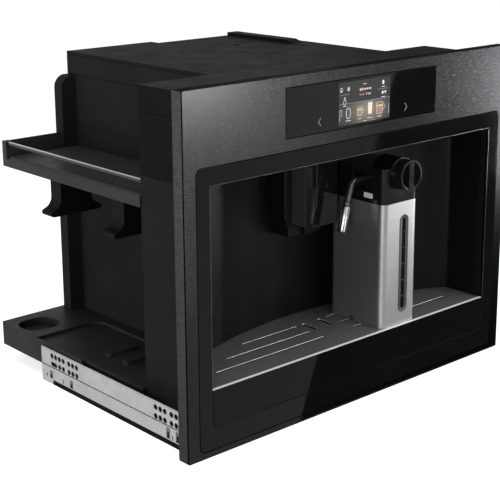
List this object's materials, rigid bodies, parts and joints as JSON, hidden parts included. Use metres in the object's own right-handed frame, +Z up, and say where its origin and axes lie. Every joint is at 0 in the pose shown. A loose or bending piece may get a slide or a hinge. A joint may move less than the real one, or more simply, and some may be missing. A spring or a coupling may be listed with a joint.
{
  "type": "built-in coffee machine",
  "caption": "Built-in coffee machine on telescopic rails, with a curved niche, height-adjustable spout, pull-out drip drawer and docked milk jug.",
  "frame": {"origin": "on the cabinet shelf under the middle of the whole outline", "axes": "+X to the right as seen from the front, +Y to the back, +Z up"},
  "size_m": [0.596, 0.473, 0.455],
  "materials": {
    "black_steel": "brushed, black tinted",
    "black_glass": "glossy black glass",
    "gloss_black": "glossy",
    "housing_black": "finely textured",
    "panel_black": "powder coat",
    "liner_black": "satin",
    "tray_steel": "brushed, dark",
    "tub_black": "moulded",
    "zinc": "galvanised",
    "foot_black": "moulded",
    "rod_chrome": "polished",
    "jug_steel": "fine brushed",
    "jug_inner": "moulded",
    "window_dark": "clear over dark",
    "lid_black": "semi-gloss",
    "pipe_dark": "semi-gloss",
    "screen": "lit screen",
    "board_green": "lacquered",
    "smoked_clear": "smoked, clear",
    "tank_clear": "clear",
    "tank_cover_black": "moulded",
    "motor_grey": "cast",
    "burr_steel": "ground",
    "frame_grey": "glass-filled",
    "piston_grey": "moulded",
    "pump_brown": "varnished",
    "inlet_black": "moulded"
  },
  "bodies": {
    "cabinet_rails": {"rail_bracket_left": "zinc", "rail_bracket_right": "zinc", "rail_foot_strips": "foot_black"},
    "rail_middles": {"rail_middle_channels": "zinc"},
    "spout": {"spout_block": "gloss_black", "spout_nozzles": "rod_chrome"},
    "drip_drawer": {"drawer_front": "black_glass", "drip_tub": "tub_black", "grounds_carrier": "tub_black", "tray_plate": "tray_steel", "grounds_box": "tub_black"},
    "milk_jug": {"jug_sleeve": "jug_steel", "jug_container": "jug_inner", "jug_window": "window_dark", "jug_lid": "lid_black"},
    "knob": {"froth_knob": "lid_black"},
    "milk_spout": {"milk_pipe": "pipe_dark", "milk_tip": "rod_chrome"},
    "flap": {"bean_flap": "housing_black"},
    "burr": {"grinder_burr": "burr_steel"},
    "piston": {"brew_piston": "piston_grey"},
    "tank": {"water_tank": "tank_clear", "tank_cover": "tank_cover_black"},
    "rocker": {"rocker_switch": "inlet_black"},
    "machine": {"fascia_frame": "black_steel", "bezel_glass": "black_glass", "display_glass": "black_glass", "front_housing": "housing_black", "housing_band": "housing_black", "housing_cap": "housing_black", "top_cover": "housing_black", "top_lid": "housing_black", "base_pan": "housing_black", "rear_panel": "housing_black", "side_shelf": "housing_black", "cord_hook_front": "housing_black", "cord_hook_rear": "housing_black", "left_side_panel": "panel_black", "right_side_panel": "panel_black", "niche_liner": "liner_black", "bezel_carrier": "liner_black", "spout_column": "liner_black", "spout_pipe_cover": "liner_black", "milk_dock": "liner_black", "rail_inner_channels": "zinc", "mounting_frame": "zinc", "rear_screws": "zinc", "shelf_rod": "rod_chrome", "display_module": "screen", "control_board": "board_green", "bean_hopper": "smoked_clear", "grinder": "motor_grey", "thermoblock": "motor_grey", "brew_frame": "frame_grey", "water_pump": "pump_brown", "power_inlet": "inlet_black", "switch_frame": "inlet_black"}
  },
  "joints": [
    {"name": "machine_pull_out", "type": "slide", "parent": "cabinet_rails", "child": "machine", "axis": [0, -1, 0], "range_m": [0, 0.3]},
    {"name": "rail_middle_slide", "type": "slide", "parent": "cabinet_rails", "child": "rail_middles", "axis": [0, -1, 0], "range_m": [0, 0.15]},
    {"name": "spout_height", "type": "slide", "parent": "machine", "child": "spout", "axis": [0, 0, 1], "range_m": [-0.055, 0]},
    {"name": "drawer_slide", "type": "slide", "parent": "machine", "child": "drip_drawer", "axis": [0, -1, 0], "range_m": [0, 0.12]},
    {"name": "jug_slide", "type": "slide", "parent": "machine", "child": "milk_jug", "axis": [0, -1, 0], "range_m": [0, 0.12]},
    {"name": "froth_knob_turn", "type": "hinge", "parent": "milk_jug", "child": "knob", "pos_m": [0.081, -0.2195, 0.3], "axis": [0, 1, 0], "range_deg": [-90, 90]},
    {"name": "milk_spout_swing", "type": "hinge", "parent": "milk_jug", "child": "milk_spout", "pos_m": [0.046, -0.1745, 0.291], "axis": [1, 0, 0], "range_deg": [-75, 0]},
    {"name": "bean_flap_hinge", "type": "hinge", "parent": "machine", "child": "flap", "pos_m": [0.137, 0.1085, 0.4425], "axis": [0, 1, 0], "range_deg": [0, 95]},
    {"name": "water_tank_slide", "type": "slide", "parent": "machine", "child": "tank", "axis": [1, 0, 0], "range_m": [0, 0.1]},
    {"name": "grinder_turn", "type": "hinge", "parent": "machine", "child": "burr", "pos_m": [0.099, 0.1085, 0.31], "axis": [0, 0, 1], "continuous": true},
    {"name": "brew_press", "type": "slide", "parent": "machine", "child": "piston", "axis": [0, 0, 1], "range_m": [-0.02, 0.02]},
    {"name": "main_switch_rock", "type": "hinge", "parent": "machine", "child": "rocker", "pos_m": [-0.025, 0.2245, 0.12], "axis": [1, 0, 0], "range_deg": [-16, 0]}
  ],
  "couplings": [
    {"joint": "rail_middle_slide", "follows": "machine_pull_out", "ratio": 0.5}
  ]
}
